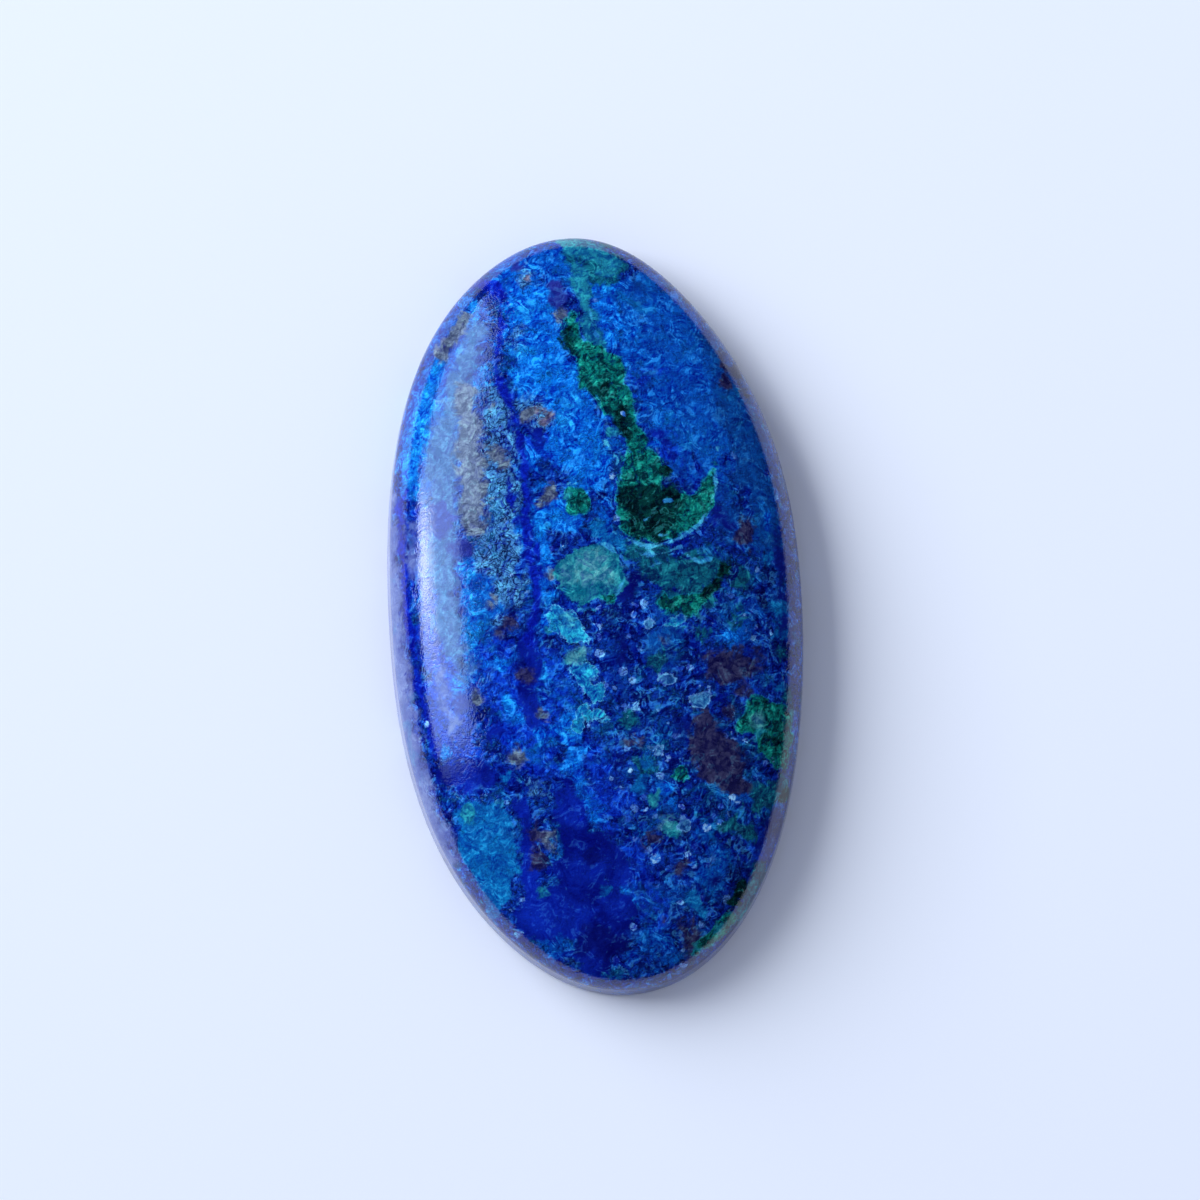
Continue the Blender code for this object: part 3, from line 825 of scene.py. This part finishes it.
    # each needle gets a painted lit side and a painted shaded side in its colour; the same relief also
    # drives the bump
    reliefAndPaintedShade = addNode(tree, maths, [lumps["nearSide"], lumps["farSide"]], operation="SUBTRACT")
    reliefAndPaintedShade = addNode(tree, maths, [reliefAndPaintedShade, polish["needleRelief"], rings], operation="MULTIPLY_ADD")
    reliefAndPaintedShade = addNode(tree, maths, [reliefAndPaintedShade, needles], operation="MULTIPLY")
    paintedShadeGain = addNode(tree, vector, {0: polish["reliefAndPaintedShade"], "Scale": reliefAndPaintedShade}, operation="SCALE")
    paintedShadeGain = addNode(tree, vector, [paintedShadeGain, (1, 1, 1)])
    paintedShadeGain = addNode(tree, vector, [paintedShadeGain, polish["darkest"]], operation="MAXIMUM")
    colour = addNode(tree, vector, [colour, paintedShadeGain], operation="MULTIPLY")
    # painted highlight: a glint added to the colour on the lit side of each needle
    bright = addNode(tree, maths, [reliefAndPaintedShade, 0.15], operation="SUBTRACT", use_clamp=True)
    paintedGlint = addNode(tree, vector, {0: polish["paintedGlint"], "Scale": bright}, operation="SCALE")
    colour = addNode(tree, vector, [colour, paintedGlint])

    # the flat back is only ground, so it is paler and dull
    height = addNode(tree, "ShaderNodeSeparateXYZ", [place]).node.outputs["Z"]
    onBack = addNode(tree, mapping, [height, 0.35, 0.05], **smooth)
    pale = addNode(tree, maths, [onBack, polish["backPale"]], operation="MULTIPLY")
    dust = linearColour(polish["backDust"])
    colour = addNode(tree, blend, [pale, colour, dust], data_type="RGBA")
    dull = [onBack, polish["roughness"], polish["backRoughness"]]
    dull = addNode(tree, blend, dull, data_type="FLOAT")
    # the polish leaves harder needles standing a little proud of the rest
    bump = {"Strength": 1.0, "Distance": polish["bumpHeight"] * mm, "Height": reliefAndPaintedShade}
    tree.links.new(addNode(tree, "ShaderNodeBump", bump), shader.inputs["Normal"])
    tree.links.new(dull, shader.inputs["Roughness"])
    tree.links.new(colour, shader.inputs["Base Color"])
    shader.inputs["IOR"].default_value = polish["ior"]
    return material


stone = buildStone(stoneMaterial())
addMarkings(stone.data)
pressPits(stone.data)
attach(stone, "root")
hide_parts("azurite_cabochon")
print("stone:", len(stone.data.vertices), "points,", len(stone.data.polygons), "faces")


# The floor: plain card under the stone.
card = {"size": 1200, "colour": "#F0F3F9", "roughness": 0.75}  # size in mm


def buildFloor():
    half = card["size"] * mm / 2
    mesh = bpy.data.meshes.new("floor")
    corners = [(-half, -half, 0), (half, -half, 0), (half, half, 0), (-half, half, 0)]
    mesh.from_pydata(corners, [], [(0, 1, 2, 3)])
    floor = bpy.data.objects.new("floor", mesh)
    bpy.context.scene.collection.objects.link(floor)
    material = bpy.data.materials.new("matt white card")
    material.use_nodes = True
    shader = material.node_tree.nodes["Principled BSDF"]
    shader.inputs["Base Color"].default_value = linearColour(card["colour"])
    shader.inputs["Roughness"].default_value = card["roughness"]
    mesh.materials.append(material)


buildFloor()

# The light: one large soft window to the left and a little behind, and a pale room. The window
# lights the stone but isn't mirrored in it. The glints on the dome are panes of their own, nested
# in each other, because a real window is bright sky in one pane and haze in others.
window = {
    "middle": (-545, 545, 545),  # mm
    "size": (900, 720),  # mm along Y and up
    "radiance": 8.8,
    "colour": "#E9F0FB",
}
panes = [
    {"middle": (-300, 55, 250), "size": (170, 280), "radiance": 3.1, "colour": "#A8C8FA"},
    {"middle": (-301, 42, 225), "size": (195, 230), "radiance": 1.1, "colour": "#A8C8FA"},
    {"middle": (-300, 330, 355), "size": (380, 410), "radiance": 2.4, "colour": "#A8C8FA"},
    {"middle": (-301, 330, 385), "size": (380, 470), "radiance": 0.9, "colour": "#A8C8FA"},
    {"middle": (-299, 66, 165), "size": (90, 120), "radiance": 1.5, "colour": "#D8E6FA"},
    {"middle": (-298, 71, 160), "size": (56, 84), "radiance": 3.0, "colour": "#E2EAF4"},
    {"middle": (-297, 72, 152), "size": (36, 42), "radiance": 4.6, "colour": "#EEF2F4"},
]
room = {"colour": "#CDD6EE", "strength": 0.56}


def hangLight(name, settings, mirrored):
    light = bpy.data.lights.new(name, "AREA")
    light.shape = "RECTANGLE"
    light.size, light.size_y = (side * mm for side in settings["size"])
    light.energy = settings["radiance"] * math.pi * light.size * light.size_y
    light.color = linearColour(settings["colour"])[:3]
    lamp = bpy.data.objects.new(name, light)
    # the lamp shines along +X, its width lies along Y
    turned = Matrix(((0, 0, -1), (1, 0, 0), (0, -1, 0))).to_4x4()
    lamp.matrix_world = Matrix.Translation(Vector(settings["middle"]) * mm) @ turned
    lamp.visible_glossy = mirrored
    lamp.visible_diffuse = not mirrored
    bpy.context.scene.collection.objects.link(lamp)


def buildLight():
    hangLight("window", window, False)
    for number, pane in enumerate(panes):
        hangLight("pane_" + str(number), pane, True)
    world = bpy.data.worlds.new("room")
    bpy.context.scene.world = world
    world.use_nodes = True
    sky = world.node_tree.nodes["Background"]
    sky.inputs["Color"].default_value = linearColour(room["colour"])
    sky.inputs["Strength"].default_value = room["strength"]
    world.cycles_visibility.glossy = False  # the dark ceiling over the table gives the dome no haze


buildLight()

# The camera: almost straight above, a little to the near left, turned so the stone leans left.
view = {
    "elevation": 82.0,  # degrees, as are the next two
    "azimuth": -15.0,
    "turn": 5.05,
    "distance": 300.0,  # mm
    "frame": 60.52,  # mm of the stone's plane across the picture
    "aim": (0.29, 0.845, 0.0),  # mm
}


def buildCamera():
    elevation, azimuth, turn = (math.radians(view[key]) for key in ("elevation", "azimuth", "turn"))
    flat = math.cos(elevation)
    back = Vector((math.sin(azimuth) * flat, -math.cos(azimuth) * flat, math.sin(elevation)))
    up = Vector((math.sin(turn), math.cos(turn), 0.0))
    up = (up - back * up.dot(back)).normalized()
    right = up.cross(back)
    lens = bpy.data.cameras.new("camera")
    lens.sensor_width = 36.0
    lens.lens = lens.sensor_width * view["distance"] / view["frame"]
    lens.clip_start, lens.clip_end = 0.01, 10.0
    camera = bpy.data.objects.new("camera", lens)
    axes = Matrix((right, up, back)).transposed().to_4x4()
    stand = Vector(view["aim"]) + back * view["distance"]
    camera.matrix_world = Matrix.Translation(stand * mm) @ axes
    bpy.context.scene.collection.objects.link(camera)
    bpy.context.scene.camera = camera
    bpy.context.scene.view_settings.view_transform = "Standard"


buildCamera()
print("floor, light and camera are in place")
